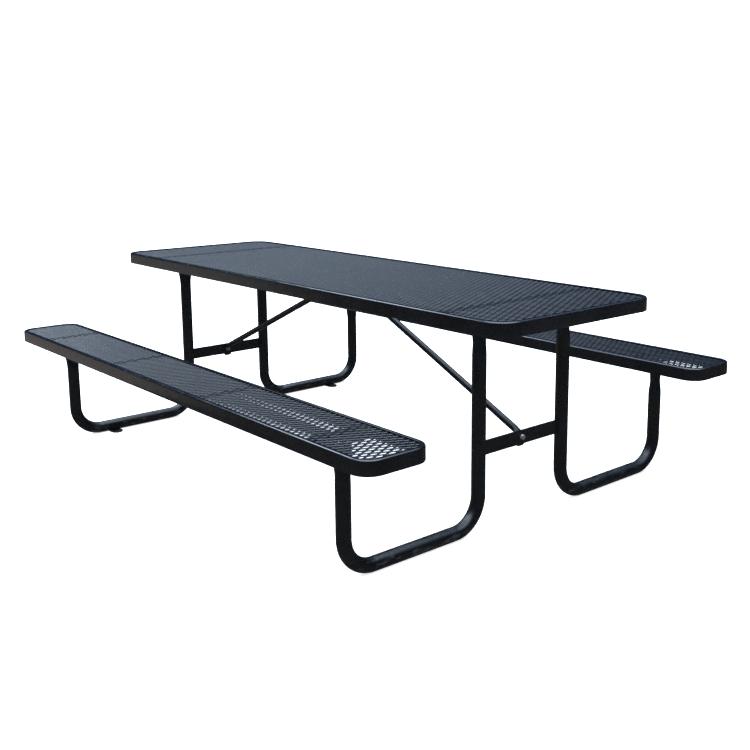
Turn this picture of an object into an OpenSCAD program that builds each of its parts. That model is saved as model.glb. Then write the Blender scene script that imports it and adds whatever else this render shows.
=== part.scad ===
// Eight-foot rectangular picnic table: an expanded-metal top and two bench seats with formed steel
// rims, on four bent tube legs. X runs along the table, Y across it, Z up from the floor.
// The origin is on the floor below the middle of the top. All sizes are in millimetres.

/* [Table top] */
// Length of the table top
top_length = 2438; // [2340:1:2500]
// Width of the table top
top_width = 760; // [720:1:800]
// Height of the top surface above the floor
top_height = 762; // [740:1:780]
// Corner radius of the table top
top_corner_r = 84; // [40:1:120]
// Distance of each stringer from the middle of the top
top_stringer_y = 125; // [80:1:150]

/* [Seats] */
// Length of each seat
seat_length = 2438; // [2340:1:2500]
// Width of each seat
seat_width = 250; // [240:1:270]
// Height of the seat surface above the floor
seat_height = 460; // [440:1:480]
// Distance of each seat's middle line from the middle of the table
seat_y = 766; // [740:1:800]
// Corner radius of the seats
seat_corner_r = 63; // [40:1:80]
// Distance of the flat ribs under a seat from its middle
seat_rib_x = 325; // [250:1:400]

/* [Rims and sheets] */
// Depth of the formed rim around the top and the seats
rim_depth = 47; // [45:1:60]
// Thickness of the coated rim wall and lip
rim_wall = 4; // [3:0.5:5]
// Width of the smooth lip, from the rim's outer face to the open sheet
rim_lip = 16; // [12:1:24]
// Outer radius of the rim's rolled upper edge
rim_roll_r = 7; // [5:0.5:9]
// Thickness of the solid sheet that weighs as much as the expanded sheet
sheet_thickness = 1.3; // [1:0.1:2]

/* [Supports] */
// Flange width of the support angles, and the width of the flat ribs
angle_size = 38; // [30:1:40]
// Thickness of the support angles, ribs and stringers
angle_wall = 4; // [3:0.5:5]
// Thickness of the centre support that carries the braces
center_support_t = 5; // [4:0.5:6]

/* [Legs] */
// Outer diameter of the leg tube
leg_d = 48.3; // [42:0.1:52]
// Wall thickness of the leg tube
leg_wall = 2.9; // [2:0.1:4]
// Radius of the bends, to the tube's centre line
leg_bend_r = 108; // [90:1:130]
// Distance of each end frame from the middle of the table
frame_x = 958; // [900:1:1000]
// Distance of the inner legs from the middle of the table
inner_leg_y = 207; // [180:1:240]
// Width of a leg's flattened upper end
leg_flat_width = 70; // [64:1:72]
// Height of a leg's flattened upper end
leg_flat_height = 47; // [42:1:52]
// Length over which the tube goes from round to flat
leg_taper = 98; // [70:1:120]

/* [Crossbars and braces] */
// Height of each crossbar's middle above the floor
crossbar_z = 286; // [260:1:320]
// Depth of the crossbars
crossbar_depth = 50; // [45:1:60]
// Thickness of the crossbars
crossbar_t = 6; // [5:0.5:8]
// Outer diameter of the brace tube
brace_d = 25.4; // [22:0.1:30]
// Wall thickness of the brace tube
brace_wall = 2; // [1.5:0.1:3]
// Width of a brace's flattened ends
brace_tab_width = 40; // [36:1:44]
// Height at which the line of a brace meets its end frame
brace_foot_z = 294.5; // [290:0.5:300]
// Height at which the line of a brace meets the middle of the table
brace_head_z = 731; // [720:1:735]

/* [Foot tabs] */
// Distance of the anchor holes from the middle of the table, along it
anchor_x = 920; // [915:1:925]
// Distance of the anchor holes from the middle of the table, across it
anchor_y = 600; // [560:1:620]
// Diameter of the anchor holes
anchor_hole_d = 13; // [10:0.5:14]
// Width of the foot tabs
tab_width = 50; // [40:1:60]
// Thickness of the foot tabs
tab_t = 5; // [4:0.5:6]

/* [Fasteners] */
// Bolt diameter
bolt_d = 10; // [8:1:10]
// Distance between the two bolts in one leg end
bolt_pitch = 36; // [34:1:38]

/* [Hidden] */

$fn = 48;
eps = 0.01;                                  // thickness of the slices that a taper runs between
through = 1;                                 // how far a cut runs past a face
left = -1;                                   // side signs along X and Y
right = 1;
near = -1;
far = 1;

coating = "#22252b";                         // plastic-coated sheets and rims
powder = "#15171a";                          // powder-coated tubes and bars
zinc = "#c9ccd0";                            // bright fasteners

sheet_drop = rim_wall;                       // top of a sheet below the rim's top
support_drop = sheet_drop + sheet_thickness; // top of a support below the rim's top
stringer_drop = support_drop + angle_wall;   // top of a stringer below the rim's top
flat_t = 2 * leg_wall + 1.2;                 // thickness of a leg's flattened end
flat_slit = 1.2;                             // gap left between its two walls
flat_corner_r = 12;                          // corner radius of the flattened end
leg_end_drop = stringer_drop + 4;            // top of a leg below the rim's top
bolt_drop = leg_end_drop + 20;               // leg bolts below the rim's top
flange_x = frame_x - flat_t / 2;             // face where a leg end meets its support

brace_t = 2 * brace_wall;                    // thickness of a brace's flattened end
brace_slope = (brace_head_z - brace_foot_z) / frame_x;
brace_foot_x = frame_x - crossbar_t / 2 - brace_t; // inner face of the brace's lower tab
brace_foot_top = crossbar_z + crossbar_depth / 2 + 1;
brace_foot_low = crossbar_z - crossbar_depth / 2 - 8;
brace_head_low = top_height - rim_depth - 3;
brace_head_top = top_height - stringer_drop - 5;
brace_bolt_z = top_height - 31;
brace_tube_foot_x = brace_foot_x - 56;       // where the round tube starts and ends
brace_tube_head_x = center_support_t / 2 + 60;
brace_corner_r = 9;
taper_lap = 0.2;                             // how much wider a taper starts than its tube
drain_d = 6;                                 // drain hole in the underside of each brace
drain_x = brace_tube_foot_x - 25;

hole_d = bolt_d + 1;
head_af = 1.6 * bolt_d;                      // across the flats of heads and nuts
head_t = 0.64 * bolt_d;
nut_t = 0.8 * bolt_d;
washer_d = 2 * bolt_d;
washer_t = 2;
thread_end = 3;                              // how far a bolt stands out of its nut

tab_back = 8;                                // end of a foot tab from the tube's middle

// ---- shared shapes ----

// Section of the rim: its outer face is at x = 0 and its top at y = 0
module rim_section() {
    translate([-rim_wall, -rim_depth]) square([rim_wall, rim_depth - rim_roll_r]);
    translate([-rim_lip, -rim_wall]) square([rim_lip - rim_roll_r, rim_wall]);
    translate([-rim_roll_r, -rim_roll_r]) difference() {
        intersection() {
            circle(rim_roll_r);
            square(rim_roll_r);
        }
        translate([-through, -through]) square(rim_roll_r - rim_wall + through);
    }
}

// Closed rim of the given outline, with its top at z = 0
module rim(length, width, corner_r) {
    for (side = [0, 180]) {
        rotate(side) translate([length / 2, 0, 0]) rotate([90, 0, 0])
            linear_extrude(width - 2 * corner_r, center = true) rim_section();
        rotate(90 + side) translate([width / 2, 0, 0]) rotate([90, 0, 0])
            linear_extrude(length - 2 * corner_r, center = true) rim_section();
    }
    for (x = [left, right], y = [near, far]) {
        turn = x > 0 ? (y > 0 ? 0 : 270) : (y > 0 ? 90 : 180);
        translate([x * (length / 2 - corner_r), y * (width / 2 - corner_r), 0])
            rotate(turn) rotate_extrude(angle = 90) translate([corner_r, 0]) rim_section();
    }
}

// Sheet that fills a rim up to the inside of its wall, with its top at z = 0
module sheet(length, width, corner_r) {
    inner_r = corner_r - rim_wall;
    inner_x = length / 2 - corner_r;
    inner_y = width / 2 - corner_r;
    translate([0, 0, -sheet_thickness]) linear_extrude(sheet_thickness) {
        square([length - 2 * rim_wall, 2 * inner_y], center = true);
        square([2 * inner_x, width - 2 * rim_wall], center = true);
        for (x = [left, right], y = [near, far])
            translate([x * inner_x, y * inner_y]) circle(inner_r);
    }
}

// Support angle across a rim at an end frame: one flange under the sheet, one hanging at the legs
module support_angle(span, holes_y) {
    difference() {
        union() {
            translate([flange_x - angle_size, -span / 2, -angle_wall])
                cube([angle_size, span, angle_wall]);
            translate([flange_x - angle_wall, -span / 2, -angle_size])
                cube([angle_wall, span, angle_size]);
        }
        for (y = holes_y, s = [-1, 1])
            translate([flange_x - angle_wall - through, y + s * bolt_pitch / 2,
                support_drop - bolt_drop])
                rotate([0, 90, 0]) cylinder(d = hole_d, h = angle_wall + 2 * through);
    }
}

// Hexagonal prism along X, from x = 0
module hexagon_x(t) {
    rotate([0, 90, 0]) rotate(30) cylinder(d = head_af / cos(30), h = t, $fn = 6);
}

// Bolt along X: the head's inner face is at x = 0 and the shank runs towards -X
module bolt_x(grip) {
    hexagon_x(head_t);
    translate([-grip - nut_t - thread_end, 0, 0]) rotate([0, 90, 0])
        cylinder(d = bolt_d, h = grip + nut_t + thread_end + eps);
}

// Nut along X: its outer face is at x = 0 and it runs towards -X
module nut_x() {
    difference() {
        translate([-nut_t, 0, 0]) hexagon_x(nut_t);
        translate([-nut_t - through, 0, 0]) rotate([0, 90, 0])
            cylinder(d = bolt_d, h = nut_t + 2 * through);
    }
}

// Washer along X, from x = 0 towards +X
module washer_x() {
    rotate([0, 90, 0]) difference() {
        cylinder(d = washer_d, h = washer_t);
        translate([0, 0, -through]) cylinder(d = hole_d, h = washer_t + 2 * through);
    }
}

// Puts a piece that is drawn at the right end, or on the far side, on the side that is asked for
module at_side(x_side, y_side = far) {
    mirror([x_side < 0 ? 1 : 0, 0, 0]) mirror([0, y_side < 0 ? 1 : 0, 0]) children();
}

// ---- top and seats ----

module top_rim() {
    color(coating) translate([0, 0, top_height]) rim(top_length, top_width, top_corner_r);
}

module top_mesh() {
    color(coating) translate([0, 0, top_height - sheet_drop])
        sheet(top_length, top_width, top_corner_r);
}

module top_support(side) {
    color(powder) at_side(side) translate([0, 0, top_height - support_drop])
        support_angle(top_width - 2 * rim_wall, [-inner_leg_y, inner_leg_y]);
}

// Upright bar under the middle of the top, which both braces are bolted to
module top_support_center() {
    span = top_width - 2 * rim_wall;
    color(powder) difference() {
        translate([-center_support_t / 2, -span / 2, top_height - support_drop - angle_size])
            cube([center_support_t, span, angle_size]);
        translate([-center_support_t / 2 - through, 0, brace_bolt_z]) rotate([0, 90, 0])
            cylinder(d = hole_d, h = center_support_t + 2 * through);
    }
}

module top_stringer(x_side, y_side) {
    start = center_support_t / 2;
    color(powder) at_side(x_side, y_side)
        translate([start, top_stringer_y - angle_wall / 2, top_height - support_drop - angle_size])
            cube([flange_x - angle_wall - start, angle_wall, angle_size - angle_wall]);
}

module seat_rim(y_side) {
    color(coating) translate([0, y_side * seat_y, seat_height])
        rim(seat_length, seat_width, seat_corner_r);
}

module seat_mesh(y_side) {
    color(coating) translate([0, y_side * seat_y, seat_height - sheet_drop])
        sheet(seat_length, seat_width, seat_corner_r);
}

module seat_support(x_side, y_side) {
    color(powder) translate([0, y_side * seat_y, seat_height - support_drop])
        at_side(x_side) support_angle(seat_width - 2 * rim_wall, [0]);
}

// Flat strip across a seat, close under the sheet
module seat_rib(x_side, y_side) {
    span = seat_width - 2 * rim_wall;
    color(powder) at_side(x_side, y_side)
        translate([seat_rib_x - angle_size / 2, seat_y - span / 2, seat_height - stringer_drop])
            cube([angle_size, span, angle_wall]);
}

// Upright bar along the middle of a seat, between its two support angles
module seat_stringer(y_side) {
    length = 2 * (flange_x - angle_wall);
    color(powder) translate([
        -length / 2, y_side * seat_y - angle_wall / 2, seat_height - support_drop - angle_size])
        cube([length, angle_wall, angle_size - angle_wall]);
}

// ---- end frames ----

// Quarter bend in the YZ plane about the given centre, from the given direction
module bend(y, from, d) {
    translate([0, y, leg_d / 2 + leg_bend_r]) rotate([90, 0, 90]) rotate(from)
        rotate_extrude(angle = 90) translate([leg_bend_r, 0]) circle(d = d);
}

// Bent tube of diameter d, without its flattened ends
module leg_sweep(d) {
    bend_z = leg_d / 2 + leg_bend_r;
    run_from = inner_leg_y + leg_bend_r;
    run_to = seat_y - leg_bend_r;
    translate([0, run_to, leg_d / 2]) rotate([90, 0, 0]) cylinder(d = d, h = run_to - run_from);
    bend(run_from, 180, d);
    bend(run_to, 270, d);
    translate([0, inner_leg_y, bend_z])
        cylinder(d = d, h = top_height - leg_end_drop - leg_flat_height - leg_taper - bend_z);
    translate([0, seat_y, bend_z])
        cylinder(d = d, h = seat_height - leg_end_drop - leg_flat_height - leg_taper - bend_z);
}

// Passage from round to flat, up to z = 0
module leg_taper_shape(d, t, width) {
    hull() {
        translate([0, 0, -leg_taper]) cylinder(d = d, h = eps, $fn = 32);
        translate([-t / 2, -width / 2, -eps]) cube([t, width, eps]);
    }
}

// Flattened end with rounded corners, from z = 0 up
module leg_flat() {
    translate([-flat_t / 2, 0, 0]) rotate([90, 0, 90]) linear_extrude(flat_t) {
        translate([-leg_flat_width / 2, 0])
            square([leg_flat_width, leg_flat_height - flat_corner_r]);
        translate([-leg_flat_width / 2 + flat_corner_r, 0])
            square([leg_flat_width - 2 * flat_corner_r, leg_flat_height]);
        for (s = [-1, 1])
            translate([s * (leg_flat_width / 2 - flat_corner_r), leg_flat_height - flat_corner_r])
                circle(flat_corner_r);
    }
}

// Holes for the two bolts of a leg end, along X
module leg_bolt_holes(y, z) {
    for (s = [-1, 1]) translate([-leg_d, y + s * bolt_pitch / 2, z]) rotate([0, 90, 0])
        cylinder(d = hole_d, h = 2 * leg_d);
}

// One bent tube: seat leg, run along the floor and table leg
module leg(x_side, y_side) {
    bore_d = leg_d - 2 * leg_wall;
    slit_width = leg_flat_width - 2 * leg_wall;
    ends = [[inner_leg_y, top_height - leg_end_drop], [seat_y, seat_height - leg_end_drop]];
    color(powder) at_side(x_side, y_side) translate([frame_x, 0, 0]) difference() {
        union() {
            leg_sweep(leg_d);
            for (e = ends) translate([0, e[0], e[1] - leg_flat_height]) {
                leg_taper_shape(leg_d, flat_t, leg_flat_width);
                leg_flat();
            }
        }
        leg_sweep(bore_d);
        for (e = ends) translate([0, e[0], e[1] - leg_flat_height]) {
            leg_taper_shape(bore_d, flat_slit, slit_width);
            translate([-flat_slit / 2, -slit_width / 2, -eps])
                cube([flat_slit, slit_width, leg_flat_height + through]);
        }
        leg_bolt_holes(inner_leg_y, top_height - bolt_drop);
        leg_bolt_holes(seat_y, seat_height - bolt_drop);
    }
}

// Flat bar between the two table legs of an end frame, shaped to the tubes at its ends
module crossbar(side) {
    color(powder) at_side(side) difference() {
        translate([frame_x - crossbar_t / 2, -inner_leg_y, crossbar_z - crossbar_depth / 2])
            cube([crossbar_t, 2 * inner_leg_y, crossbar_depth]);
        for (y = [near, far])
            translate([frame_x, y * inner_leg_y, crossbar_z - crossbar_depth])
                cylinder(d = leg_d, h = 2 * crossbar_depth);
        translate([frame_x - crossbar_t, 0, crossbar_z]) rotate([0, 90, 0])
            cylinder(d = hole_d, h = 2 * crossbar_t);
    }
}

// Flattened end of a brace: upright, from x = 0 to its thickness, with two rounded corners
module brace_tab(height) {
    rotate([90, 0, 90]) linear_extrude(brace_t) {
        translate([-brace_tab_width / 2, 0]) square([brace_tab_width, height - brace_corner_r]);
        translate([-brace_tab_width / 2 + brace_corner_r, 0])
            square([brace_tab_width - 2 * brace_corner_r, height]);
        for (s = [-1, 1])
            translate([s * (brace_tab_width / 2 - brace_corner_r), height - brace_corner_r])
                circle(brace_corner_r);
    }
}

// Passage from the end of the tube to the edge of a flattened end
module brace_taper(tube_end, tilt, tab_edge) {
    hull() {
        translate([tube_end[0], 0, tube_end[1]]) rotate([0, tilt, 0])
            cylinder(d = brace_d + taper_lap, h = 1, center = true, $fn = 32);
        translate([tab_edge[0], -brace_tab_width / 2, tab_edge[1]])
            cube([brace_t, brace_tab_width, eps]);
    }
}

function brace_z(x) = brace_foot_z + brace_slope * (frame_x - x);

// Slanted tube from an end frame's crossbar up to the middle of the top
module brace(side) {
    tube_from = [brace_tube_foot_x, brace_z(brace_tube_foot_x)];
    tube_to = [brace_tube_head_x, brace_z(brace_tube_head_x)];
    run = tube_from - tube_to;
    tilt = atan2(run[0], run[1]);
    length = norm(run);
    color(powder) at_side(side) difference() {
        union() {
            translate([tube_to[0], 0, tube_to[1]]) rotate([0, tilt, 0])
                cylinder(d = brace_d, h = length);
            brace_taper(tube_from, tilt, [brace_foot_x, brace_foot_top - eps]);
            brace_taper(tube_to, tilt, [center_support_t / 2, brace_head_low]);
            translate([brace_foot_x, 0, brace_foot_top]) mirror([0, 0, 1])
                brace_tab(brace_foot_top - brace_foot_low);
            translate([center_support_t / 2, 0, brace_head_low])
                brace_tab(brace_head_top - brace_head_low);
        }
        translate([tube_to[0], 0, tube_to[1]]) rotate([0, tilt, 0])
            cylinder(d = brace_d - 2 * brace_wall, h = length);
        translate([drain_x, 0, brace_z(drain_x) - brace_d]) cylinder(d = drain_d, h = brace_d);
        translate([brace_foot_x - through, 0, crossbar_z]) rotate([0, 90, 0])
            cylinder(d = hole_d, h = brace_t + 2 * through);
        translate([0, 0, brace_bolt_z]) rotate([0, 90, 0])
            cylinder(d = hole_d, h = brace_d);
    }
}

// Anchor plate on the floor, against the inner side of a leg's floor run
module foot_tab(x_side, y_side) {
    tip_x = anchor_x;
    color(powder) at_side(x_side, y_side) difference() {
        union() {
            translate([tip_x, anchor_y - tab_width / 2, 0])
                cube([frame_x - tab_back - tip_x, tab_width, tab_t]);
            translate([tip_x, anchor_y, 0]) cylinder(d = tab_width, h = tab_t);
        }
        translate([tip_x, anchor_y, -through]) cylinder(d = anchor_hole_d, h = tab_t + 2 * through);
        translate([frame_x, anchor_y + tab_width, leg_d / 2]) rotate([90, 0, 0])
            cylinder(d = leg_d, h = 2 * tab_width);
    }
}

// ---- fasteners ----

// Children at the two bolts of every leg end, at the face of its flattened end
module at_leg_bolts(y, z, offset) {
    for (x_side = [left, right], y_side = [near, far], s = [-1, 1])
        at_side(x_side, y_side) translate([frame_x + offset, y + s * bolt_pitch / 2, z]) children();
}

leg_grip = flat_t + angle_wall + 2 * washer_t;
leg_head_offset = flat_t / 2 + washer_t;
leg_nut_offset = leg_head_offset - leg_grip;

module leg_bolts(y, z) {
    color(zinc) at_leg_bolts(y, z, leg_head_offset) bolt_x(leg_grip);
}

module leg_nuts(y, z) {
    color(zinc) at_leg_bolts(y, z, leg_nut_offset) nut_x();
}

module leg_washers(y, z) {
    color(zinc) {
        at_leg_bolts(y, z, flat_t / 2) washer_x();
        at_leg_bolts(y, z, leg_nut_offset) washer_x();
    }
}

foot_grip = crossbar_t + brace_t + 2 * washer_t;
foot_head_x = frame_x + crossbar_t / 2 + washer_t;

module brace_foot_bolts() {
    color(zinc) for (side = [left, right])
        at_side(side) translate([foot_head_x, 0, crossbar_z]) bolt_x(foot_grip);
}

module brace_foot_nuts() {
    color(zinc) for (side = [left, right])
        at_side(side) translate([foot_head_x - foot_grip, 0, crossbar_z]) nut_x();
}

module brace_foot_washers() {
    color(zinc) for (side = [left, right], x = [foot_head_x - washer_t, foot_head_x - foot_grip])
        at_side(side) translate([x, 0, crossbar_z]) washer_x();
}

head_grip = center_support_t + 2 * brace_t + 2 * washer_t;

module brace_head_bolt() {
    color(zinc) translate([head_grip / 2, 0, brace_bolt_z]) bolt_x(head_grip);
}

module brace_head_nut() {
    color(zinc) translate([-head_grip / 2, 0, brace_bolt_z]) nut_x();
}

module brace_head_washers() {
    color(zinc) for (x = [-head_grip / 2, head_grip / 2 - washer_t])
        translate([x, 0, brace_bolt_z]) washer_x();
}

top_bolt_z = top_height - bolt_drop;
seat_bolt_z = seat_height - bolt_drop;

top_rim();
top_mesh();
top_support(left);  // top_support_left
top_support_center();
top_support(right);  // top_support_right
top_stringer(left, near);  // top_stringer_near_left
top_stringer(right, near);  // top_stringer_near_right
top_stringer(left, far);  // top_stringer_far_left
top_stringer(right, far);  // top_stringer_far_right
seat_rim(near);  // near_seat_rim
seat_mesh(near);  // near_seat_mesh
seat_support(left, near);  // near_seat_support_left
seat_support(right, near);  // near_seat_support_right
seat_rib(left, near);  // near_seat_rib_left
seat_rib(right, near);  // near_seat_rib_right
seat_stringer(near);  // near_seat_stringer
seat_rim(far);  // far_seat_rim
seat_mesh(far);  // far_seat_mesh
seat_support(left, far);  // far_seat_support_left
seat_support(right, far);  // far_seat_support_right
seat_rib(left, far);  // far_seat_rib_left
seat_rib(right, far);  // far_seat_rib_right
seat_stringer(far);  // far_seat_stringer
leg(left, near);  // leg_near_left
leg(right, near);  // leg_near_right
leg(left, far);  // leg_far_left
leg(right, far);  // leg_far_right
crossbar(left);  // crossbar_left
crossbar(right);  // crossbar_right
brace(left);  // brace_left
brace(right);  // brace_right
foot_tab(left, near);  // foot_tab_near_left
foot_tab(right, near);  // foot_tab_near_right
foot_tab(left, far);  // foot_tab_far_left
foot_tab(right, far);  // foot_tab_far_right
leg_bolts(inner_leg_y, top_bolt_z);  // top_leg_bolts
leg_nuts(inner_leg_y, top_bolt_z);  // top_leg_nuts
leg_washers(inner_leg_y, top_bolt_z);  // top_leg_washers
leg_bolts(seat_y, seat_bolt_z);  // seat_leg_bolts
leg_nuts(seat_y, seat_bolt_z);  // seat_leg_nuts
leg_washers(seat_y, seat_bolt_z);  // seat_leg_washers
brace_foot_bolts();
brace_foot_nuts();
brace_foot_washers();
brace_head_bolt();
brace_head_nut();
brace_head_washers();
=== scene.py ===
"""Looks of the eight-foot picnic table: expanded-metal top and seats, formed rims, bent tube legs."""
import math

import bpy
from mathutils import Matrix, Vector


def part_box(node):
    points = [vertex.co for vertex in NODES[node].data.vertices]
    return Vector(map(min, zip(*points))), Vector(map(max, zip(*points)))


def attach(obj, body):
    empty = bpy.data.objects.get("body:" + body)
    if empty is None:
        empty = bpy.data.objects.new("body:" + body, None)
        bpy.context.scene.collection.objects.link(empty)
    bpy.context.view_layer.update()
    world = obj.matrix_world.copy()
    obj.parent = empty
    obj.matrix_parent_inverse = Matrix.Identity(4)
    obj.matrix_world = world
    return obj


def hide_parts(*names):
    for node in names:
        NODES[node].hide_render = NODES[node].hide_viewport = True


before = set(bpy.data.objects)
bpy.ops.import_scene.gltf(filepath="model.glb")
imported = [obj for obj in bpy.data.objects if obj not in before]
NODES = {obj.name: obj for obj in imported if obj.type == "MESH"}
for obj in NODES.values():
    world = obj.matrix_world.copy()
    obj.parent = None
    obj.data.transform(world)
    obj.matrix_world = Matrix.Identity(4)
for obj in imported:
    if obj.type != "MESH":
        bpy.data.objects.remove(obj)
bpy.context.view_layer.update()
SIDES = {"left": -1, "right": 1}
ROWS = {"near": -1, "far": 1}

# ---- sizes read from the CAD nodes, in metres ----

TOP_LOW, TOP_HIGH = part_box("top_rim")
SEAT_LOW, SEAT_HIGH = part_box("far_seat_rim")
LEG_LOW, LEG_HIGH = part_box("leg_far_right")
BRACE_LOW, BRACE_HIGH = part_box("brace_right")
BAR_LOW, BAR_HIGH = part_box("crossbar_right")
TAB_LOW, TAB_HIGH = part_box("foot_tab_far_right")
CENTER_HALF_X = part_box("top_support_center")[1].x     # half the middle support's width

TOP_Z = TOP_HIGH.z
SEAT_Z = SEAT_HIGH.z
RIM_DEPTH = TOP_HIGH.z - TOP_LOW.z
SEAT_Y = (SEAT_LOW.y + SEAT_HIGH.y) / 2
FRAME_X = (LEG_LOW.x + LEG_HIGH.x) / 2
TUBE_R = (LEG_HIGH.x - LEG_LOW.x) / 2
FLAT_HALF = LEG_HIGH.y - SEAT_Y            # half width of a leg's flattened end
INNER_Y = LEG_LOW.y + FLAT_HALF
LEG_TOP_Z = LEG_HIGH.z
SEAT_LEG_TOP_Z = LEG_TOP_Z - TOP_Z + SEAT_Z
CROSSBAR_Z = (BAR_LOW.z + BAR_HIGH.z) / 2

# ---- sizes of the details ----

RIM_WALL = 0.004
RIM_LIP = 0.016                            # width of a rim's top, from its outer face inwards
RIM_ROLL_R = 0.007                         # between a rim's outer face and its top
RIM_LIP_RADII = (0.0016, 0.0012)           # at the lip's inner edge, above and below
RIM_INSIDE_R = 0.0015                      # between the lip and the wall, underneath
RIM_EDGE_R = 0.0018                        # at the wall's lower edge
TOP_CORNER_R = 0.084
SEAT_CORNER_R = 0.063

SHEET_GAP = 0.0005                         # between a sheet and the wall of its rim
MESH_PITCH_X = 0.02465                     # short way of a diamond, along the table
MESH_PITCH_Y = 0.046                       # long way of a diamond, across the table
STRAND_WIDTH = 0.0050
STRAND_T = 0.0026
STRAND_CHAMFER = 0.0008
STRAND_TILT = math.radians(-22)            # towards the table's right end
STRAND_END_RUN = 0.0005                    # shortest stretch left at a strand's ends
BOND_LENGTH = 0.006
BOND_STEP = 0.45                           # share of a full stair step between joined strands

LEG_BEND_R = 0.108
LEG_FLAT_T = 0.007                         # thickness of a leg's flattened ends
LEG_FLAT_HEIGHT = 0.047
LEG_TAPER = 0.098                          # length over which a leg turns from flat to round
LEG_END_CORNER_R = 0.012
LEG_END_STEPS = 6
SLIT_INSET = 0.003                         # from an end's rounded corners to the slit pressed into it
SLIT_HALF_T = 0.0006
SLIT_DEPTH = 0.010
DIE_MARK_DEPTH = 0.012                     # pinch at a bend's start and end, as a share of the radius
DIE_MARK_LENGTH = 0.005
BEND_MARGIN = 0.015                        # sections are close together this near a bend's start and end

BRACE_R = 0.0127
BRACE_FLAT_T = 0.004                       # thickness of a brace's flattened ends
BRACE_FLAT_HALF = BRACE_HIGH.y
BRACE_FLAT_HEIGHT = 0.03275
BRACE_TAPER = 0.045
BRACE_END_CORNER_R = 0.009
BRACE_END_ZONE = 0.16                      # sections are close together this near its ends
BRACE_BEND_RADII = (0.009, 0.09, 0.009)    # at the foot, before the head and at the head
BRACE_SLOPE = 0.4556                       # rise towards the table's middle
BRACE_AXIS_Z = 0.2945                      # height of the brace's axis where it passes between the legs
BRACE_HEAD_BEND_X = 0.058                  # from the long bend's corner to the head
BRACE_HEAD_DROP = 0.018                    # how far the head's corner is under the axis

SUPPORT_T = 0.004                          # thickness of the angles that the legs are bolted to
BOLT_R = 0.005
BOLT_PITCH = 0.036                         # between the two bolts of a leg's end
LEG_BOLT_DROP = 0.020                      # from a leg's end down to its bolts
HEAD_BOLT_DROP = 0.031                     # from the top down to the bolt through the braces' heads
BOLT_SPIN = 0.35                           # each bolt is turned a little further than the last
END_SPIN = 0.2                             # and the two ends of the table differ too
HEAD_AF = 0.016                            # across the flats of a head or nut
HEAD_T = 0.0064
HEAD_DISH = 0.0003
HEAD_CORE_R = 0.0004                       # small centre hole in a head's face
HEX_FACE_R = 0.475 * HEAD_AF               # where the corners' chamfer starts
HEX_CHAMFER = math.radians(30)
NUT_T = 0.008
NUT_HOLE_CHAMFER = 0.0006
NUT_EDGE = 0.0002
WASHER_R = 0.010
WASHER_T = 0.002
WASHER_PLAY = 0.0005
WASHER_EDGE_R = 0.0004
THREAD_PITCH = 0.0015
THREAD_DEPTH = 0.0008
THREAD_OUT = 0.003                         # length of thread past the nut
THREAD_BEHIND = 0.004                      # and on the head's side of it

WELD_R = 0.0022
WELD_RIPPLE = 0.18                         # depth of a ripple, as a share of the radius
WELD_RIPPLE_PITCH = 0.0035
WELD_TAPER = 0.003
WELD_TIP = 0.02                            # share of the section that is left at a bead's ends
WELD_INSET = 0.001

SOFT_EDGE = 0.0006                         # bevel on the bars, angles and tabs
SOFT_EDGE_ANGLE = math.radians(40)         # on edges that turn by more than this
MERGE_DISTANCE = 0.00001


# ---- mesh helpers ----

def add_piece(name, parts, material, slot, *replaced, sharp_deg=40):
    """One object made of (points, faces) parts. It rides on the table, in place of the replaced nodes."""
    points, faces = [], []
    for part_points, part_faces in parts:
        start = len(points)
        points.extend(part_points)
        faces.extend([start + i for i in face] for face in part_faces)
    mesh = bpy.data.meshes.new(name)
    mesh.from_pydata([tuple(p) for p in points], [], faces)
    mesh.materials.append(material)
    mesh.shade_smooth()
    mesh.set_sharp_from_angle(angle=math.radians(sharp_deg))
    piece = bpy.data.objects.new(name, mesh)
    bpy.context.scene.collection.objects.link(piece)
    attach(piece, "root")
    if replaced:
        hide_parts(*replaced)


def skin(rings, closed=False):
    """Quads between rings that have the same number of points, with flat caps unless it is closed."""
    count = len(rings[0])
    points = [p for ring in rings for p in ring]
    faces = []
    steps = len(rings) if closed else len(rings) - 1
    for i in range(steps):
        a, b = i * count, (i + 1) % len(rings) * count
        for j in range(count):
            k = (j + 1) % count
            faces.append((a + j, a + k, b + k, b + j))
    if not closed:
        faces.append(tuple(reversed(range(count))))
        faces.append(tuple(range(len(points) - count, len(points))))
    return points, faces


def flipped(part):
    """The same part with its faces turned over."""
    return part[0], [tuple(reversed(face)) for face in part[1]]


def placed(part, matrix):
    """A copy of the part moved by the matrix. A mirrored copy has its faces turned over."""
    moved = [matrix @ Vector(p) for p in part[0]], part[1]
    return flipped(moved) if matrix.determinant() < 0 else moved


def mirrored(part, x_side, y_side=1):
    """The part as it is at the right end or far side, put on the asked side."""
    return placed(part, Matrix.Diagonal((x_side, y_side, 1, 1)))


def smooth(t):
    """Eased step from 0 to 1."""
    t = min(max(t, 0), 1)
    return t * t * (3 - 2 * t)


def fillet(corners, radii, steps=4):
    """Closed outline in 2D with each corner rounded to its radius."""
    outline = []
    for i, radius in enumerate(radii):
        corner = Vector(corners[i])
        back = (Vector(corners[i - 1]) - corner).normalized()
        ahead = (Vector(corners[(i + 1) % len(corners)]) - corner).normalized()
        half = back.angle(ahead) / 2
        centre = corner + (back + ahead).normalized() * radius / math.sin(half)
        start = corner + back * radius / math.tan(half) - centre
        end = corner + ahead * radius / math.tan(half) - centre
        first = math.atan2(start.y, start.x)
        turn = (math.atan2(end.y, end.x) - first + math.pi) % (2 * math.pi) - math.pi
        for s in range(steps + 1):
            angle = first + turn * s / steps
            outline.append(centre + radius * Vector((math.cos(angle), math.sin(angle))))
    return outline


# ---- rims ----

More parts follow.
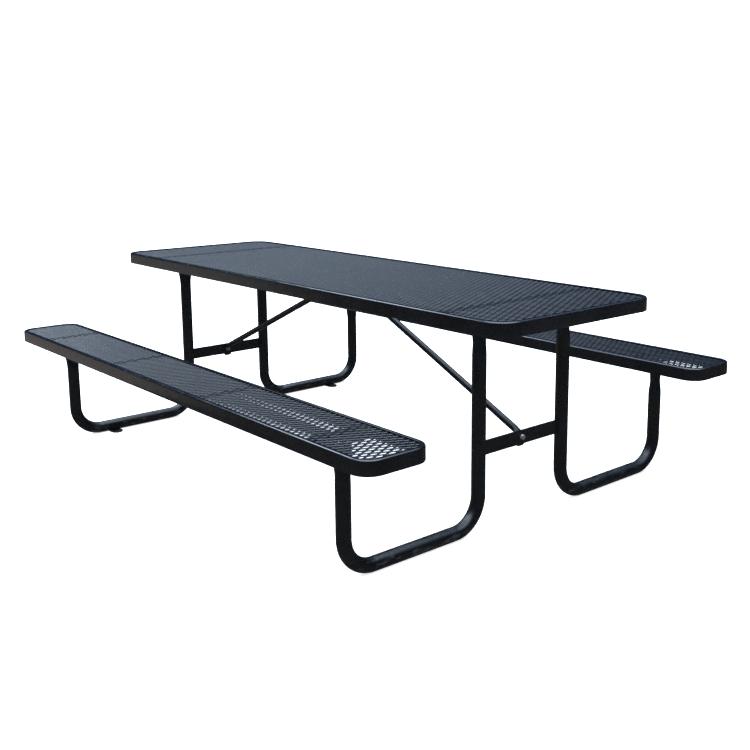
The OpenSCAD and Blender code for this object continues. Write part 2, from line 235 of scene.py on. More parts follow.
def outline_stations(half_x, half_y, radius, corner_steps=16, run_step=0.06):
    """Points round a rectangle with round corners, each with its outward direction."""
    stations = []
    for turn in range(4):
        across = turn % 2 == 0
        reach_x, reach_y = (half_x, half_y) if across else (half_y, half_x)
        spin = Matrix.Rotation(turn * math.pi / 2, 2)
        centre = Vector((reach_x - radius, reach_y - radius))
        run = 2 * centre.y
        run_count = max(2, round(run / run_step))
        for s in range(run_count):
            point = Vector((reach_x, -centre.y + run * s / run_count))
            stations.append((spin @ point, spin @ Vector((1, 0))))
        for s in range(corner_steps):
            angle = math.pi / 2 * s / corner_steps
            out = Vector((math.cos(angle), math.sin(angle)))
            stations.append((spin @ (centre + radius * out), spin @ out))
    return stations


def rim_section():
    """Section of a rim: distance inwards is negative, and its top is at 0."""
    inner = -RIM_WALL
    corners = [
        (0, -RIM_DEPTH), (0, 0), (-RIM_LIP, 0), (-RIM_LIP, inner), (inner, inner), (inner, -RIM_DEPTH)]
    radii = [RIM_EDGE_R, RIM_ROLL_R, *RIM_LIP_RADII, RIM_INSIDE_R, RIM_EDGE_R]
    return fillet(corners, radii, steps=6)


def rim(low, high, radius):
    """Formed rim between two corners of its box."""
    centre = (low + high) / 2
    half = (high - low) / 2
    section = rim_section()
    rings = []
    for point, out in outline_stations(half.x, half.y, radius):
        ring = [
            (centre.x + point.x + out.x * p.x, centre.y + point.y + out.y * p.x, high.z + p.y)
            for p in section]
        rings.append(ring)
    return flipped(skin(rings, closed=True))


# ---- expanded sheets ----

def chord(x, half_x, half_y, radius):
    """Half the width of a rectangle with round corners, at x from its middle."""
    past = abs(x) - (half_x - radius)
    if past <= 0:
        return half_y
    return half_y - radius + math.sqrt(max(radius * radius - past * past, 0))


def strand_side(y, strand):
    """Which neighbour a strand leans to at y: -1 and 1 at its bonds, and in between on the way."""
    half_pitch = MESH_PITCH_Y / 2
    step = math.floor(y / half_pitch)
    into = y - step * half_pitch
    run = half_pitch - BOND_LENGTH
    moved = min(max((into - BOND_LENGTH / 2) / run, 0), 1)
    start = 1 if (step + strand) % 2 == 0 else -1
    return start * (1 - 2 * moved)


def strand_corners(limit):
    """Every place along a strand where it turns, between -limit and limit."""
    half_pitch = MESH_PITCH_Y / 2
    count = math.ceil(limit / half_pitch) + 1
    turns = [j * half_pitch + s * BOND_LENGTH / 2 for j in range(-count, count + 1) for s in (-1, 1)]
    return [-limit] + [y for y in turns if abs(y) < limit - STRAND_END_RUN] + [limit]


def strand_section():
    """Section of a tilted strand, with its upper edges cut where the coating rounds them."""
    w, t, cut = STRAND_WIDTH / 2, STRAND_T / 2, STRAND_CHAMFER
    flat = [(-w, -t), (w, -t), (w, t - cut), (w - cut, t), (cut - w, t), (-w, t - cut)]
    cos, sin = math.cos(STRAND_TILT), math.sin(STRAND_TILT)
    return [(u * cos - v * sin, u * sin + v * cos) for u, v in flat]


def expanded_sheet(low, high, radius, lip_under):
    """Raised expanded metal that fills a rim: wavy strands side by side, joined where they touch."""
    inset = RIM_WALL + SHEET_GAP
    centre = (low + high) / 2
    half_x, half_y = (high.x - low.x) / 2 - inset, (high.y - low.y) / 2 - inset
    section = strand_section()
    reach = max(z for _, z in section)
    step = MESH_PITCH_X / 2
    lean_x = (step - STRAND_WIDTH * math.cos(STRAND_TILT)) / 2
    lean_z = -BOND_STEP * STRAND_WIDTH / 2 * math.sin(STRAND_TILT)
    middle_z = lip_under - abs(lean_z) - reach
    strands = int((half_x - lean_x - STRAND_WIDTH / 2) / step + 0.5)
    parts = []
    for k in range(-strands, strands):
        x = (k + 0.5) * step
        limit = chord(abs(x) + lean_x, half_x, half_y, radius - inset)
        rings = []
        for y in strand_corners(limit):
            side = strand_side(y, k)
            at = (centre.x + x + side * lean_x, centre.y + y, middle_z + side * lean_z)
            rings.append([(at[0] + u, at[1], at[2] + v) for u, v in section])
        parts.append(flipped(skin(rings)))
    return parts


# ---- bent tubes ----

def bent_path(corners, radii):
    """Straight and round stretches of a line through the corners: (length, function of distance)."""
    corners = [Vector(c) for c in corners]
    stretches = []
    start = corners[0]
    for i, radius in enumerate(radii, 1):
        back = (corners[i - 1] - corners[i]).normalized()
        ahead = (corners[i + 1] - corners[i]).normalized()
        half = back.angle(ahead) / 2
        cut = radius / math.tan(half)
        stretches.append(straight(start, corners[i] + back * cut))
        centre = corners[i] + (back + ahead).normalized() * radius / math.sin(half)
        stretches.append(arc(centre, corners[i] + back * cut - centre, -back, math.pi - 2 * half))
        start = corners[i] + ahead * cut
    stretches.append(straight(start, corners[-1]))
    return stretches


def straight(start, end):
    """Straight stretch: its length, and its point and direction at a distance."""
    along = (end - start).normalized()
    return (end - start).length, lambda s: (start + along * s, along)


def arc(centre, spoke, along, angle):
    """Round stretch from centre + spoke, which sets off along the given direction."""
    radius = spoke.length
    out = spoke.normalized()

    def at(s):
        turn = s / radius
        return (
            centre + radius * (out * math.cos(turn) + along * math.sin(turn)),
            along * math.cos(turn) - out * math.sin(turn))

    return radius * angle, at


def path_length(path):
    """Length of all the path's stretches."""
    return sum(length for length, _ in path)


def path_at(path, distance):
    """Point and direction at a distance along the path."""
    for length, at in path[:-1]:
        if distance < length:
            return at(distance)
        distance -= length
    return path[-1][1](distance)


def bend_ends(path):
    """Distances at which the path's bends start and end."""
    ends, total = [], 0
    for i, (length, _) in enumerate(path):
        if i % 2:
            ends.append((total, total + length))
        total += length
    return ends


def flattened_section(half_width, half_t, radius, flat, count=40):
    """Section between a round tube and a flat one: the flat one's width is the second number."""
    run = 2 * (half_width - half_t)
    around = math.pi * half_t
    perimeter = 2 * (run + around)
    points = []
    for i in range(count):
        angle = 2 * math.pi * i / count
        s = (i / count * perimeter + 2 * run + 1.5 * around) % perimeter
        if s < run:
            u, v = half_t, -run / 2 + s
        elif s < run + around:
            a = (s - run) / half_t
            u, v = half_t * math.cos(a), run / 2 + half_t * math.sin(a)
        elif s < 2 * run + around:
            u, v = -half_t, run / 2 - (s - run - around)
        else:
            a = (s - 2 * run - around) / half_t
            u, v = -half_t * math.cos(a), -run / 2 - half_t * math.sin(a)
        round_u, round_v = radius * math.sin(angle), -radius * math.cos(angle)
        points.append((round_u + (u - round_u) * flat, round_v + (v - round_v) * flat))
    return points


def swept_ring(path, distance, side, section):
    """The section at a distance along the path: its first number goes along side."""
    point, along = path_at(path, distance)
    up = side.cross(along)
    return [point + side * u + up * v for u, v in section]


def spaced(start, end, step):
    """Even steps from start up to end, without the end."""
    count = max(1, math.ceil((end - start) / step))
    return [start + (end - start) * i / count for i in range(count)]


def stations_at(marks):
    """Distances from the first mark's start to the last one's end: each mark is (start, end, step)."""
    return [s for a, b, step in marks if b > a for s in spaced(a, b, step)] + [marks[-1][1]]


def leg_stations(path, end_zone, end_step=0.007, mark_step=0.003, bend_step=0.012, run_step=0.08):
    """Distances at which a leg gets a section: close together at its ends and bends."""
    total = path_length(path)
    marks = [(0, end_zone, end_step)]
    at = end_zone
    for start, end in bend_ends(path):
        before = max(at, start - BEND_MARGIN)
        marks.append((at, before, run_step))
        marks.append((before, start + BEND_MARGIN, mark_step))
        marks.append((start + BEND_MARGIN, end - BEND_MARGIN, bend_step))
        marks.append((end - BEND_MARGIN, end + BEND_MARGIN, mark_step))
        at = end + BEND_MARGIN
    marks.append((at, total - end_zone, run_step))
    marks.append((total - end_zone, total, end_step))
    return stations_at(marks)


def corner_cut(to_end, radius):
    """How much narrower a flat end with rounded corners is at a distance from its edge."""
    if to_end >= radius:
        return 0
    return radius - math.sqrt(radius ** 2 - (radius - to_end) ** 2)


def die_mark(path, distance):
    """How much a tube is pinched where its bends start and end, as a share of its radius."""
    mark = 0
    for ends in bend_ends(path):
        for at in ends:
            mark += DIE_MARK_DEPTH * math.exp(-((distance - at) / DIE_MARK_LENGTH) ** 2)
    return mark


def leg_section(path, total, distance):
    """Section of a leg: round, and flat with rounded corners at both of its ends."""
    to_end = min(distance, total - distance)
    flat = smooth((LEG_FLAT_HEIGHT + LEG_TAPER - to_end) / LEG_TAPER)
    cut = corner_cut(to_end, LEG_END_CORNER_R)
    radius = TUBE_R * (1 - die_mark(path, distance))
    return flattened_section(FLAT_HALF - cut, LEG_FLAT_T / 2, radius, flat)


def leg():
    """Seat leg, run along the floor and table leg, as one bent tube with flattened ends."""
    side = Vector((1, 0, 0))
    corners = [
        (FRAME_X, SEAT_Y, SEAT_LEG_TOP_Z), (FRAME_X, SEAT_Y, TUBE_R),
        (FRAME_X, INNER_Y, TUBE_R), (FRAME_X, INNER_Y, LEG_TOP_Z)]
    path = bent_path(corners, [LEG_BEND_R, LEG_BEND_R])
    total = path_length(path)
    quarters = [math.pi / 2 * i / LEG_END_STEPS for i in range(LEG_END_STEPS + 1)]
    rounded = [LEG_END_CORNER_R * (1 - math.cos(angle)) for angle in quarters]
    zone = LEG_FLAT_HEIGHT + LEG_TAPER
    middle = [s for s in leg_stations(path, zone) if LEG_END_CORNER_R < s < total - LEG_END_CORNER_R]
    stations = rounded + middle + [total - s for s in reversed(rounded)]
    rings = [swept_ring(path, s, side, leg_section(path, total, s)) for s in stations]
    slit = flattened_section(FLAT_HALF - LEG_END_CORNER_R - SLIT_INSET, SLIT_HALF_T, TUBE_R, 1)
    rings.insert(0, swept_ring(path, 0, side, slit))
    rings.insert(0, swept_ring(path, SLIT_DEPTH, side, slit))
    rings.append(swept_ring(path, total, side, slit))
    rings.append(swept_ring(path, total - SLIT_DEPTH, side, slit))
    return skin(rings)


def brace_section(total, distance):
    """Section of a brace: round, and flat at both of its ends, with rounded corners."""
    to_end = min(distance, total - distance)
    flat = smooth((BRACE_FLAT_HEIGHT + BRACE_TAPER - to_end) / BRACE_TAPER)
    half_width = BRACE_FLAT_HALF - corner_cut(to_end, BRACE_END_CORNER_R)
    section = flattened_section(half_width, BRACE_FLAT_T / 2, BRACE_R, flat, count=32)
    return [(v, -u) for u, v in section]


def brace_stations(total, corner_step=0.0015, bend_step=0.005, run_step=0.1):
    """Distances at which a brace gets a section: close together at its ends."""
    corner, zone = BRACE_END_CORNER_R, BRACE_END_ZONE
    return stations_at([
        (0, corner, corner_step), (corner, zone, bend_step), (zone, total - zone, run_step),
        (total - zone, total - corner, bend_step), (total - corner, total, corner_step)])


def brace():
    """Slanted tube from the crossbar up to the support under the middle of the top."""
    foot_x = BRACE_HIGH.x - BRACE_FLAT_T / 2
    head_x = BRACE_LOW.x + BRACE_FLAT_T / 2
    side = Vector((0, 1, 0))

    def on_axis(x, drop=0):
        return (x, 0, BRACE_AXIS_Z + BRACE_SLOPE * (FRAME_X - x) - drop)

    corners = [
        (foot_x, 0, BRACE_LOW.z), on_axis(foot_x), on_axis(head_x + BRACE_HEAD_BEND_X),
        on_axis(head_x, BRACE_HEAD_DROP), (head_x, 0, BRACE_HIGH.z)]
    path = bent_path(corners, BRACE_BEND_RADII)
    total = path_length(path)
    return skin([swept_ring(path, s, side, brace_section(total, s)) for s in brace_stations(total)])


# ---- fasteners ----

def turned(profile, count=36, hexagon=()):
    """Closed profile of (radius, distance) turned about X. Points numbered in hexagon follow six flats."""
    rings = []
    for j in range(count):
        angle = 2 * math.pi * j / count
        off_flat = (angle % (math.pi / 3)) - math.pi / 6
        stretch = 1 / math.cos(off_flat)
        ring = []
        for i, (radius, x) in enumerate(profile):
            r = radius * (stretch if i in hexagon else 1)
            ring.append((x, r * math.cos(angle), r * math.sin(angle)))
        rings.append(ring)
    return skin(rings, closed=True)


def chamfered(part, height, both=False):
    """Cuts the corners of a hexagonal part down towards its outer face, or towards both faces."""
    points = []
    for x, y, z in part[0]:
        over = max(0, math.hypot(y, z) - HEX_FACE_R) * math.tan(HEX_CHAMFER)
        x = min(x, height - over)
        if both:
            x = max(x, over)
        points.append((x, y, z))
    return points, part[1]


def bolt_head():
    """Hexagonal head from x = 0 towards +X, with a slightly dished face."""
    half = HEAD_AF / 2
    profile = [
        (HEAD_CORE_R, 0), (half, 0), (half, HEAD_T), (HEX_FACE_R, HEAD_T),
        (HEAD_CORE_R, HEAD_T - HEAD_DISH)]
    return chamfered(turned(profile, hexagon=(1, 2)), HEAD_T)


def bolt_shank(length):
    """Shank from x = 0 towards -X, with a thread cut on its free end."""
    count = 24
    angles = [2 * math.pi * j / count for j in range(count)]
    threaded = THREAD_OUT + NUT_T + THREAD_BEHIND
    turns = int(threaded / THREAD_PITCH)
    rings = []
    for i in range(2 * turns + 1):
        radius = BOLT_R if i % 2 else BOLT_R - THREAD_DEPTH
        ring = []
        for j, angle in enumerate(angles):
            x = -length + (i / 2 + j / count - 0.5) * THREAD_PITCH
            ring.append((max(x, -length), radius * math.cos(angle), radius * math.sin(angle)))
        rings.append(ring)
    for x in (-length + threaded + THREAD_PITCH, 0):
        rings.append([(x, BOLT_R * math.cos(a), BOLT_R * math.sin(a)) for a in angles])
    return skin(rings)


def nut():
    """Nut from x = 0 towards +X."""
    half = HEAD_AF / 2
    mouth = BOLT_R + NUT_HOLE_CHAMFER
    profile = [
        (BOLT_R, NUT_HOLE_CHAMFER), (mouth, 0), (HEX_FACE_R, 0), (half, NUT_EDGE), (half, NUT_T - NUT_EDGE),
        (HEX_FACE_R, NUT_T), (mouth, NUT_T), (BOLT_R, NUT_T - NUT_HOLE_CHAMFER)]
    return chamfered(turned(profile, hexagon=(3, 4)), NUT_T, both=True)


def washer():
    """Washer from x = 0 towards +X with rounded edges."""
    hole = BOLT_R + WASHER_PLAY
    corners = [(hole, 0), (WASHER_R, 0), (WASHER_R, WASHER_T), (hole, WASHER_T)]
    return turned([tuple(p) for p in fillet(corners, [WASHER_EDGE_R] * 4, steps=2)])


def moved_to(part, x, y, z, spin):
    """A copy of a part that lies along X, turned by spin about X and moved to a place."""
    return placed(part, Matrix.Translation((x, y, z)) @ Matrix.Rotation(spin, 4, "X"))


# ---- welds ----

def weld_bead(start, end, step=0.0008, sides=8):
    """Rippled bead along a straight joint, tapered at both of its ends."""
    start, end = Vector(start), Vector(end)
    along = (end - start).normalized()
    length = (end - start).length
    side = along.orthogonal().normalized()
    up = along.cross(side)
    angles = [2 * math.pi * j / sides for j in range(sides)]
    rings = []
    for s in spaced(0, length, step) + [length]:
        ripple = 1 - WELD_RIPPLE + WELD_RIPPLE * abs(math.sin(math.pi * s / WELD_RIPPLE_PITCH))
        taper = math.sqrt(max(WELD_TIP, min(1, s / WELD_TAPER, (length - s) / WELD_TAPER)))
        r = WELD_R * ripple * taper
        rings.append([start + along * s + r * (side * math.cos(a) + up * math.sin(a)) for a in angles])
    return skin(rings)


# ---- materials ----

DUST = (0.050, 0.052, 0.055, 1)
SCUFFED = (0.045, 0.047, 0.050, 1)
POWDER_TONES = ((0.0022, 0.0024, 0.0026, 1), (0.0042, 0.0045, 0.0048, 1))
RUBBED = (0.040, 0.043, 0.047, 1)
ZINC_TONES = ((0.86, 0.87, 0.90, 1), (0.93, 0.92, 0.89, 1))
ZINC_BLOOM = (0.45, 0.45, 0.44, 1)
FLOOR_TONES = ((0.80, 0.80, 0.80, 1), (0.83, 0.83, 0.83, 1))
FLOOR_ROUGHNESS = 0.9
FLOOR_GLOW = 0.8
RUB_HEIGHT = 0.10                          # rubbed marks fade out this far above the floor
MIX_A, MIX_B, MIX_RESULT = 6, 7, 2         # a mix node's colour sockets


class Finish:
    """A material's node tree, with short calls that add its nodes. Places are in metres."""

    def __init__(self, name):
        self.material = bpy.data.materials.new(name)
        self.material.use_nodes = True
        self.tree = self.material.node_tree
        self.shader = self.tree.nodes["Principled BSDF"]
        self.place = self.add("ShaderNodeTexCoord").outputs["Object"]

    def add(self, kind, **settings):
        """A new node of a kind, with its settings."""
        node = self.tree.nodes.new(kind)
        for name, value in settings.items():
            setattr(node, name, value)
        return node

    def join(self, value, socket):
        """Links an output to the socket, or sets a plain value on it."""
        if isinstance(value, bpy.types.NodeSocket):
            self.tree.links.new(value, socket)
        else:
            socket.default_value = value

    def noise(self, scale, detail=2, stretch=None):
        """Cloudy noise from 0 to 1, finer along an axis with a larger stretch."""
        place = self.place
        if stretch:
            mapping = self.add("ShaderNodeMapping")
            self.join(place, mapping.inputs["Vector"])
            mapping.inputs["Scale"].default_value = stretch
            place = mapping.outputs["Vector"]
        node = self.add("ShaderNodeTexNoise")
        self.join(place, node.inputs["Vector"])
        node.inputs["Scale"].default_value = scale
        node.inputs["Detail"].default_value = detail
        return node.outputs["Fac"]

    def cells(self, scale):
        """Distance from the middles of soft cells."""
        node = self.add("ShaderNodeTexVoronoi", feature="SMOOTH_F1")
        self.join(self.place, node.inputs["Vector"])
        node.inputs["Scale"].default_value = scale
        return node.outputs["Distance"]

    def ranged(self, value, low, high, to_low, to_high):
        """The value carried from one range over to another, and held at that range's ends."""
        node = self.add("ShaderNodeMapRange")
        for socket, number in zip(node.inputs, (value, low, high, to_low, to_high)):
            self.join(number, socket)
        return node.outputs["Result"]

    def math(self, operation, a, b):
        """Two values put together by the named operation."""
        node = self.add("ShaderNodeMath", operation=operation)
        self.join(a, node.inputs[0])
        self.join(b, node.inputs[1])
        return node.outputs["Value"]

    def mixed(self, share, a, b):
        """Colour from a, at a share of 0, to b, at a share of 1."""
        node = self.add("ShaderNodeMix", data_type="RGBA")
        self.join(share, node.inputs["Factor"])
        self.join(a, node.inputs[MIX_A])
        self.join(b, node.inputs[MIX_B])
        return node.outputs[MIX_RESULT]

    def facing_up(self, low, high):
        """0 to 1 for surfaces whose normal's height goes from low to high."""
        split = self.add("ShaderNodeSeparateXYZ")
        self.join(self.add("ShaderNodeNewGeometry").outputs["Normal"], split.inputs[0])
        return self.ranged(split.outputs["Z"], low, high, 0, 1)

    def bump(self, height, distance, strength, after=None):
        """Normal bent by a height, on top of the bump that it comes after."""
        node = self.add("ShaderNodeBump")
        self.join(height, node.inputs["Height"])
        node.inputs["Distance"].default_value = distance
        node.inputs["Strength"].default_value = strength
        if after is not None:
            self.join(after, node.inputs["Normal"])
        return node.outputs["Normal"]

    def finish(self, colour, roughness, normal, **constants):
        """Joins the shader's inputs, sets its other sockets and gives back the material."""
        self.join(colour, self.shader.inputs["Base Color"])
        self.join(roughness, self.shader.inputs["Roughness"])
        self.join(normal, self.shader.inputs["Normal"])
        for name, value in constants.items():
            self.shader.inputs[name.replace("_", " ")].default_value = value
        return self.material


def plastic_coating(name, dark, light, smoothest, roughest, specular):
    """Thick dipped plastic: soft dents, fine grain, dust on top and scuffs along rounded edges."""
    f = Finish(name)
    clouds = f.noise(7, detail=4)
    grain = f.noise(900)
    colour = f.mixed(f.ranged(clouds, 0.35, 0.65, 0, 1), dark, light)
    dust = f.math("MULTIPLY", f.facing_up(0.6, 1), f.ranged(f.noise(35, detail=6), 0.45, 0.75, 0, 0.08))
    colour = f.mixed(dust, colour, DUST)
    edge = f.math("MULTIPLY", f.facing_up(0.15, 0.5), f.facing_up(0.97, 0.8))
    scuffs = f.math("MULTIPLY", edge, f.ranged(f.noise(120, detail=5), 0.60, 0.68, 0, 0.6))
    colour = f.mixed(scuffs, colour, SCUFFED)
    rough = f.ranged(f.noise(18, detail=5), 0.3, 0.7, smoothest, roughest)
    rough = f.math("ADD", rough, f.math("MULTIPLY", f.math("ADD", dust, scuffs), 0.25))
    dents = f.bump(f.noise(28), distance=0.0012, strength=0.25)
    normal = f.bump(grain, distance=0.00012, strength=0.3, after=dents)
    return f.finish(colour, rough, normal, Specular_IOR_Level=specular)


def powder_coating(name, specular):
    """Glossy powder coat: orange peel, patchy gloss, dust on top and rubbed marks near the floor."""
    f = Finish(name)
    colour = f.mixed(f.noise(5, detail=3), *POWDER_TONES)
    split = f.add("ShaderNodeSeparateXYZ")
    f.join(f.place, split.inputs[0])
    low = f.ranged(split.outputs["Z"], RUB_HEIGHT, 0, 0, 1)
    patches = f.ranged(f.noise(90, detail=6, stretch=(1, 0.25, 1)), 0.56, 0.70, 0, 0.7)
    rubs = f.math("MULTIPLY", low, patches)
    dust = f.math("MULTIPLY", f.facing_up(0.4, 1), f.ranged(f.noise(40, detail=6), 0.4, 0.8, 0, 0.2))
    worn = f.math("MAXIMUM", rubs, dust)
    colour = f.mixed(worn, colour, RUBBED)
    rough = f.ranged(f.noise(14, detail=4), 0.3, 0.7, 0.22, 0.34)
    rough = f.math("ADD", rough, f.math("MULTIPLY", worn, 0.3))
    waves = f.bump(f.noise(22), distance=0.0006, strength=0.2)
    normal = f.bump(f.cells(420), distance=0.00010, strength=0.5, after=waves)
    return f.finish(colour, rough, normal, Specular_IOR_Level=specular)


def plated_steel():
    """Bright zinc plating: fine brushed lines, cloudy tint and a little dull bloom."""
    f = Finish("bright_zinc")
    brushed = f.noise(700, detail=3, stretch=(1, 0.08, 1))
    tint = f.mixed(f.noise(160, detail=4), *ZINC_TONES)
    bloom = f.ranged(f.noise(260, detail=5), 0.55, 0.72, 0, 0.5)
    colour = f.mixed(bloom, tint, ZINC_BLOOM)
    rough = f.math("ADD", f.ranged(brushed, 0.3, 0.7, 0.38, 0.52), f.math("MULTIPLY", bloom, 0.3))
    normal = f.bump(brushed, distance=0.00005, strength=0.4)
    return f.finish(colour, rough, normal, Metallic=1.0)


def pale_floor():
    """Matt pale floor that glows a little, so that it shows as white."""
    f = Finish("pale_floor")
    colour = f.mixed(f.noise(1.5, detail=4), *FLOOR_TONES)
    normal = f.bump(f.noise(60, detail=4), distance=0.0005, strength=0.1)
    return f.finish(
        colour, FLOOR_ROUGHNESS, normal, Specular_IOR_Level=0.1,
        Emission_Color=(1, 1, 1, 1), Emission_Strength=FLOOR_GLOW)


RIM_COAT = plastic_coating(
    "coated_rim", dark=(0.0024, 0.0026, 0.0032, 1), light=(0.0040, 0.0043, 0.0050, 1),
    smoothest=0.14, roughest=0.24, specular=0.5)
SHEET_COAT = plastic_coating(
    "coated_sheet", dark=(0.0040, 0.0046, 0.0066, 1), light=(0.0070, 0.0078, 0.0100, 1),
    smoothest=0.12, roughest=0.22, specular=0.5)
POWDER = powder_coating("black_powder_coat", specular=0.4)
ZINC = plated_steel()


# ---- the object ----

def build_rims():
    """Formed rims of the top and both seats, each filled with its expanded sheet."""
    boxes = {"top": (TOP_LOW, TOP_HIGH, TOP_CORNER_R)}
    for row in ROWS:
        boxes[row + "_seat"] = (*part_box(row + "_seat_rim"), SEAT_CORNER_R)
    for name, (low, high, radius) in boxes.items():
        add_piece(name + "_rolled_rim", [rim(low, high, radius)], RIM_COAT, "coated_rim", name + "_rim")
        sheet = expanded_sheet(low, high, radius, high.z - RIM_WALL)
        add_piece(name + "_expanded_sheet", sheet, SHEET_COAT, "coated_sheet", name + "_mesh", sharp_deg=50)


def build_frames():
    """Four bent legs and two braces, each made once and mirrored."""
    bent, slanted = leg(), brace()
    for end, x_side in SIDES.items():
        for row, y_side in ROWS.items():
            tube = mirrored(bent, x_side, y_side)
            add_piece(f"bent_leg_{row}_{end}", [tube], POWDER, "frame_powder", f"leg_{row}_{end}")
        add_piece(f"brace_tube_{end}", [mirrored(slanted, x_side)], POWDER, "frame_powder", f"brace_{end}")


def bolt_set(x, places, grip, x_sides=(-1, 1)):
    """Bolts, nuts and washers along X: the outer face of what they clamp is at x."""
    shank = bolt_shank(grip + 2 * WASHER_T + NUT_T + THREAD_OUT)
    bolts, nuts, washers = [], [], []
    for x_side in x_sides:
        for i, (y, z) in enumerate(places):
            spin = BOLT_SPIN * i + END_SPIN * x_side

            def put(part, at, group):
                group.append(mirrored(moved_to(part, at, y, z, spin), x_side))

            put(bolt_head(), x + WASHER_T, bolts)
            put(shank, x + WASHER_T, bolts)
            put(washer(), x, washers)
            put(washer(), x - grip - WASHER_T, washers)
            put(nut(), x - grip - WASHER_T - NUT_T, nuts)
    return bolts, nuts, washers


def add_bolt_set(names, groups):
    """One piece for each group of a bolt set. The names are of the CAD node and of the new piece."""
    for (node, new_name), parts in zip(names, groups):
        add_piece(new_name, parts, ZINC, "fastener", node, sharp_deg=25)


def build_fasteners():
    """Bolts of the legs' flat ends, of each brace's foot, and the one through both braces' heads."""
    for kind, row_y, top_z in (("top", INNER_Y, LEG_TOP_Z), ("seat", SEAT_Y, SEAT_LEG_TOP_Z)):
        places = [
            (y_side * row_y + s * BOLT_PITCH / 2, top_z - LEG_BOLT_DROP)
            for y_side in ROWS.values() for s in (-1, 1)]
        names = [(f"{kind}_leg_{p}", f"{kind}_leg_hex_{p}") for p in ("bolts", "nuts", "washers")]
        add_bolt_set(names, bolt_set(FRAME_X + LEG_FLAT_T / 2, places, LEG_FLAT_T + SUPPORT_T))
    foot_grip = BAR_HIGH.x - BAR_LOW.x + BRACE_FLAT_T
    foot_names = [
        ("brace_foot_bolts", "brace_foot_hex_bolts"), ("brace_foot_nuts", "brace_foot_hex_nuts"),
        ("brace_foot_washers", "brace_foot_flat_washers")]
    add_bolt_set(foot_names, bolt_set(BAR_HIGH.x, [(0, CROSSBAR_Z)], foot_grip))
    half_grip = CENTER_HALF_X + BRACE_FLAT_T
    head_names = [
        ("brace_head_bolt", "brace_head_hex_bolt"), ("brace_head_nut", "brace_head_hex_nut"),
        ("brace_head_washers", "brace_head_flat_washers")]
    head_place = (0, TOP_Z - HEAD_BOLT_DROP)
    add_bolt_set(head_names, bolt_set(half_grip, [head_place], 2 * half_grip, x_sides=(1,)))


def build_welds():
    """Weld beads between the crossbars and the legs, and between the floor tabs and the legs."""
    bar_y = INNER_Y - math.sqrt(TUBE_R ** 2 - (BAR_HIGH.x - FRAME_X) ** 2)
    tab_x = FRAME_X - math.sqrt(TUBE_R ** 2 - (TUBE_R - TAB_HIGH.z) ** 2)
    for end, x_side in SIDES.items():
        beads = []
        for y_side in ROWS.values():
            for x in (BAR_LOW.x, BAR_HIGH.x):
                bead = weld_bead((x, bar_y, BAR_LOW.z + WELD_INSET), (x, bar_y, BAR_HIGH.z - WELD_INSET))
                beads.append(mirrored(bead, x_side, y_side))
        add_piece(f"crossbar_welds_{end}", beads, POWDER, "frame_powder")
    bead = weld_bead(
        (tab_x, TAB_LOW.y + WELD_INSET, TAB_HIGH.z), (tab_x, TAB_HIGH.y - WELD_INSET, TAB_HIGH.z))
    beads = [mirrored(bead, x, y) for x in SIDES.values() for y in ROWS.values()]
    add_piece("foot_tab_welds", beads, POWDER, "frame_powder")


def build_bars():
    """CAD bars, angles and tabs keep their shape and get softened edges and the powder coat."""
    for node in NODES.values():
        if node.hide_render:
            continue
        node.data.materials.clear()
        node.data.materials.append(POWDER)
        weld = node.modifiers.new("weld", "WELD")
        weld.merge_threshold = MERGE_DISTANCE
        bevel = node.modifiers.new("soft_edges", "BEVEL")
        bevel.width = SOFT_EDGE
        bevel.segments = 2
        bevel.limit_method = "ANGLE"
        bevel.angle_limit = SOFT_EDGE_ANGLE


build_rims()
build_frames()
build_fasteners()
build_welds()
build_bars()


# ---- stage ----

STUDIO_STRENGTH = 6.5
STUDIO_BANDS = (                           # height on the sphere from 0 below to 1 above, and colour
    (0.44, (0.013, 0.012, 0.011, 1)), (0.52, (0.002, 0.004, 0.010, 1)), (0.74, (0.003, 0.006, 0.014, 1)),
    (0.80, (0.060, 0.090, 0.140, 1)), (0.86, (0.100, 0.130, 0.180, 1)), (0.92, (0.72, 0.85, 1.0, 1)))
SKY_TINT = (0.72, 0.85, 1.0)
WARM_TINT = (1, 0.93, 0.87)
BACKDROP_STRENGTH = 1.1
FLOOR_REACH = 60

CAMERA_AT = (3.1565, -2.4333, 1.3075)
CAMERA_LENS = 47.68                        # millimetres, on a sensor 36 mm wide
CAMERA_SHIFT = (-0.0423, -0.0828)
CAMERA_YAW = math.radians(48.91)           # to the left of +Y
CAMERA_PITCH = math.radians(79.72)         # 90 degrees would be level
CAMERA_ROLL = math.radians(-0.27)


def add_floor():
    """Plain floor at z = 0, reaching far past the view, which gloss doesn't mirror."""
    sides = ((-1, -1), (1, -1), (1, 1), (-1, 1))
    mesh = bpy.data.meshes.new("floor")
    mesh.from_pydata([(FLOOR_REACH * x, FLOOR_REACH * y, 0) for x, y in sides], [], [(0, 1, 2, 3)])
    mesh.materials.append(pale_floor())
    floor = bpy.data.objects.new("floor", mesh)
    bpy.context.scene.collection.objects.link(floor)
    floor.visible_glossy = False


def add_softbox(name, at, aim, size, watts, colour):
    """Rectangular lamp at a place, turned to the point that it aims at."""
    light = bpy.data.lights.new(name, "AREA")
    light.shape = "RECTANGLE"
    light.size, light.size_y = size
    light.energy = watts
    light.color = colour
    lamp = bpy.data.objects.new(name, light)
    lamp.location = at
    lamp.rotation_euler = (Vector(aim) - Vector(at)).to_track_quat("-Z", "Y").to_euler()
    bpy.context.scene.collection.objects.link(lamp)


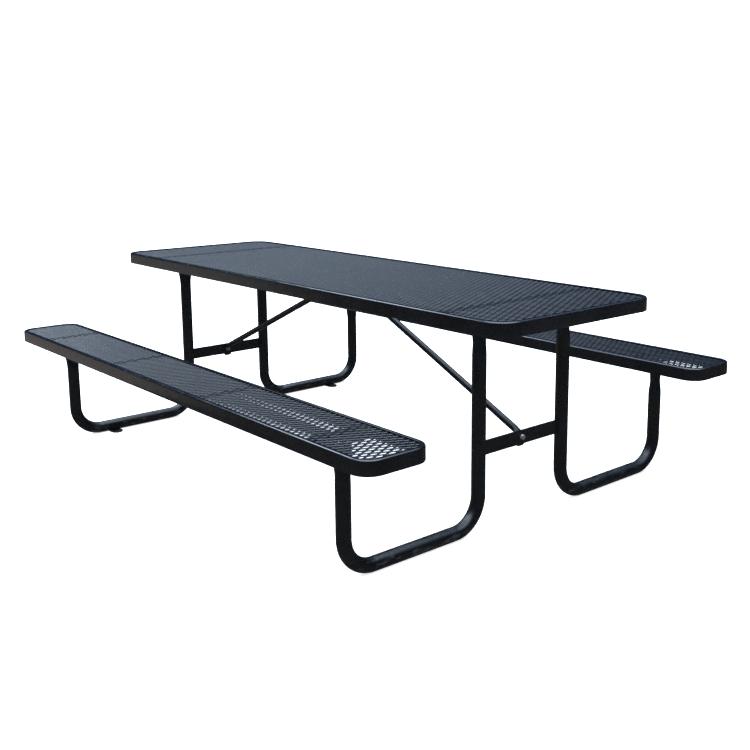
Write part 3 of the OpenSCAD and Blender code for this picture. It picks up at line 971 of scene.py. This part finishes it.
def add_world():
    """Studio light: faint below, dark at the horizon and blue overhead, with a white backdrop in view."""
    world = bpy.data.worlds.new("studio")
    bpy.context.scene.world = world
    world.use_nodes = True
    tree = world.node_tree
    tree.nodes.clear()
    place = tree.nodes.new("ShaderNodeTexCoord")
    split = tree.nodes.new("ShaderNodeSeparateXYZ")
    half = tree.nodes.new("ShaderNodeMapRange")
    half.inputs["From Min"].default_value = -1
    ramp = tree.nodes.new("ShaderNodeValToRGB")
    bands = ramp.color_ramp.elements
    bands[0].position, bands[0].color = STUDIO_BANDS[0]
    bands[1].position, bands[1].color = STUDIO_BANDS[-1]
    for position, colour in STUDIO_BANDS[1:-1]:
        bands.new(position).color = colour
    studio = tree.nodes.new("ShaderNodeBackground")
    studio.inputs["Strength"].default_value = STUDIO_STRENGTH
    backdrop = tree.nodes.new("ShaderNodeBackground")
    backdrop.inputs["Color"].default_value = (1, 1, 1, 1)
    backdrop.inputs["Strength"].default_value = BACKDROP_STRENGTH
    path = tree.nodes.new("ShaderNodeLightPath")
    mix = tree.nodes.new("ShaderNodeMixShader")
    output = tree.nodes.new("ShaderNodeOutputWorld")
    for a, b in (
            (place.outputs["Generated"], split.inputs[0]), (split.outputs["Z"], half.inputs["Value"]),
            (half.outputs["Result"], ramp.inputs["Fac"]), (ramp.outputs["Color"], studio.inputs["Color"]),
            (path.outputs["Is Camera Ray"], mix.inputs["Fac"]), (studio.outputs[0], mix.inputs[1]),
            (backdrop.outputs[0], mix.inputs[2]), (mix.outputs[0], output.inputs["Surface"])):
        tree.links.new(a, b)


def add_camera():
    """Camera that looks along the table from beyond its near right corner."""
    data = bpy.data.cameras.new("camera")
    data.sensor_width = 36
    data.lens = CAMERA_LENS
    data.shift_x, data.shift_y = CAMERA_SHIFT
    camera = bpy.data.objects.new("camera", data)
    turn = Matrix.Rotation(CAMERA_YAW, 4, "Z") @ Matrix.Rotation(CAMERA_PITCH, 4, "X")
    turn = turn @ Matrix.Rotation(CAMERA_ROLL, 4, "Z")
    camera.matrix_world = Matrix.Translation(CAMERA_AT) @ turn
    bpy.context.scene.collection.objects.link(camera)
    bpy.context.scene.camera = camera


add_floor()
add_world()
add_softbox(
    "upper_left_box", at=(-3.1, -0.9, 3.9), aim=(0, -0.6, 0.6), size=(3, 1.2), watts=100, colour=SKY_TINT)
add_softbox(
    "low_left_box", at=(-4.8, -2.2, 0.2), aim=(0, -0.4, 0.7), size=(2.6, 2.4), watts=7, colour=WARM_TINT)
add_camera()
bpy.context.scene.view_settings.view_transform = "Standard"
